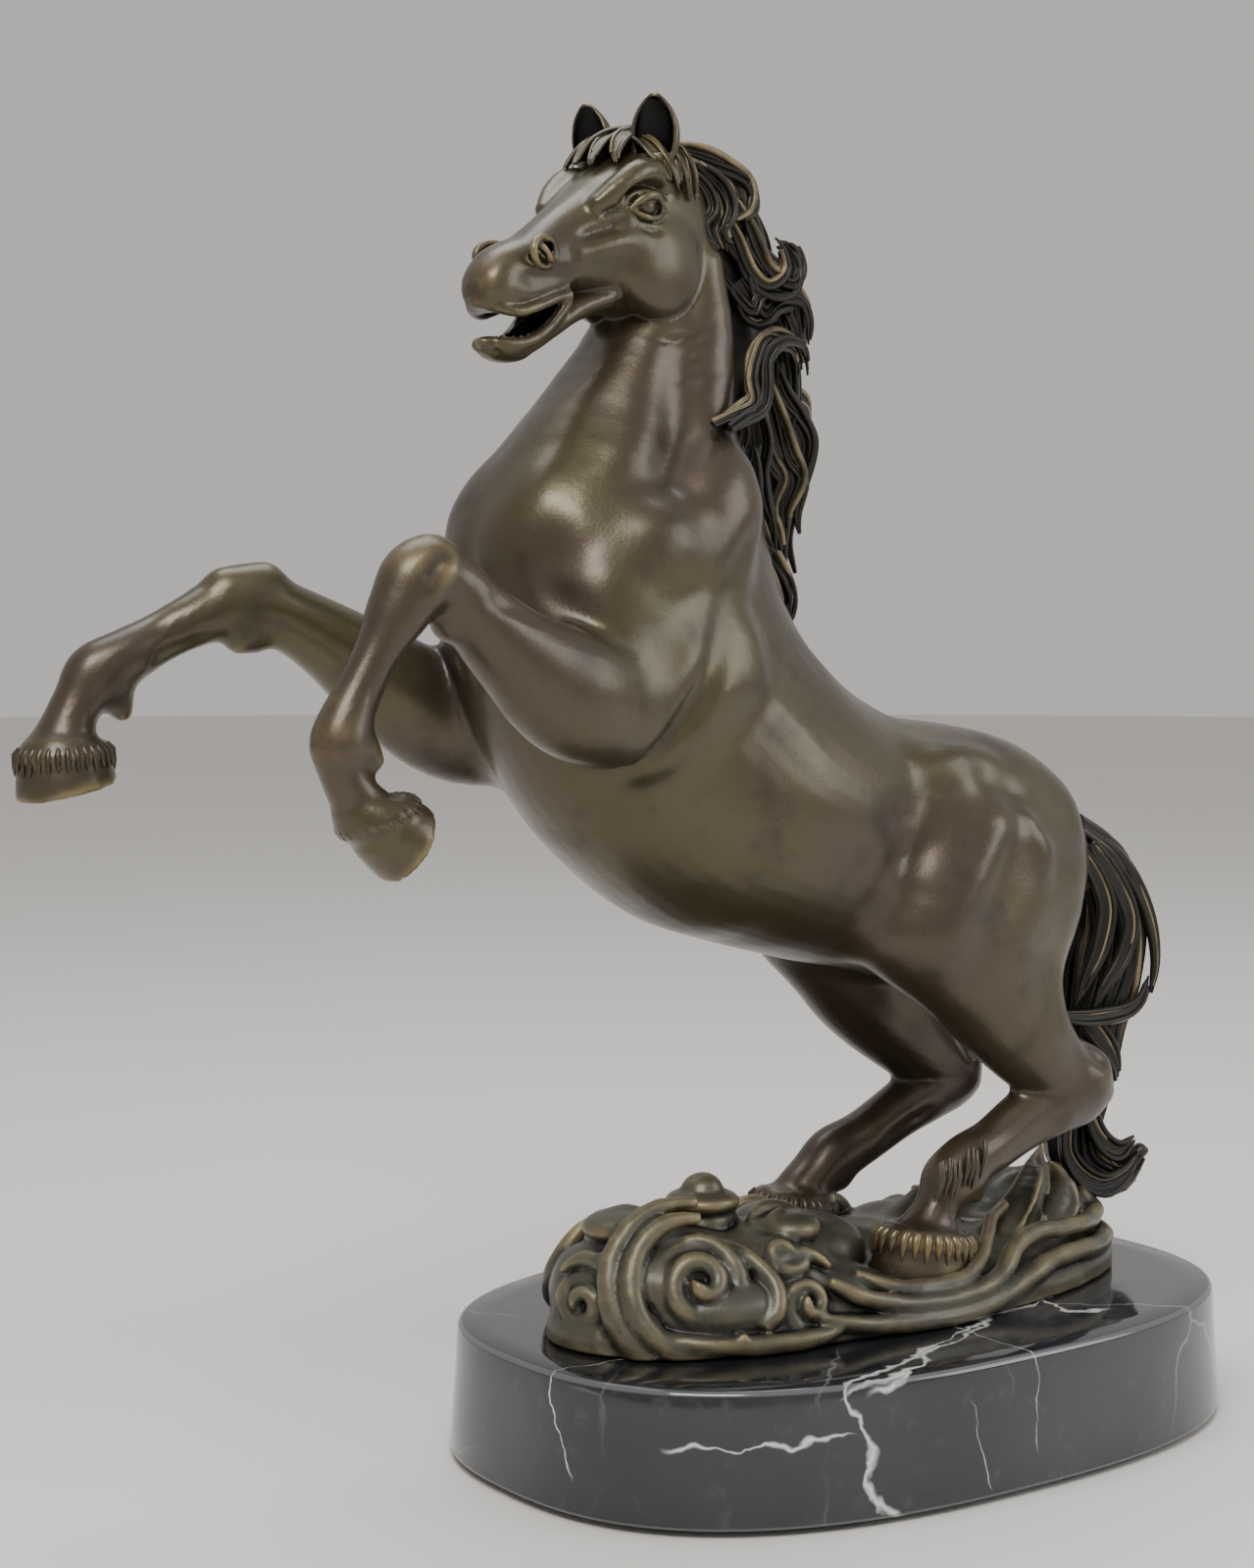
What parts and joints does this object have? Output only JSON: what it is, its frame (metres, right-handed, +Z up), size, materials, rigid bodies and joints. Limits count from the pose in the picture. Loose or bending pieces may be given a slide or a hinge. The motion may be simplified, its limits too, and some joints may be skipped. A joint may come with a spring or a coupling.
{
  "type": "horse statuette",
  "caption": "Rearing horse statuette in patinated bronze on a cast scroll-cloud base, bolted to an oval polished black marble plinth.",
  "frame": {"origin": "centre of the felt pad's underside, where the statuette rests", "axes": "+Z up, -X the way the horse faces, -Y the horse's left side, +Y its right side"},
  "size_m": [0.2883, 0.128, 0.2938],
  "materials": {
    "bronze": "cast bronze with a satin brown patina",
    "dark_bronze": "near-black brown patina, brassy on worn ridges",
    "cloud_bronze": "greenish-grey patina, brassy on worn ridges",
    "marble": "polished black marble with white veins",
    "felt": "thin green baize",
    "steel": "plain zinc-grey steel"
  },
  "bodies": {
    "root": {"marble_plinth": "marble", "felt_pad": "felt", "cloud_base": "cloud_bronze", "torso": "bronze", "head": "bronze", "left_foreleg": "bronze", "right_foreleg": "bronze", "left_hind_leg": "bronze", "right_hind_leg": "bronze", "mane": "dark_bronze", "forelock": "dark_bronze", "tail": "dark_bronze", "left_hoof_pin": "bronze", "right_hoof_pin": "bronze", "front_stud": "steel", "rear_stud": "steel", "front_washer": "steel", "rear_washer": "steel", "front_nut": "steel", "rear_nut": "steel"}
  },
  "joints": []
}
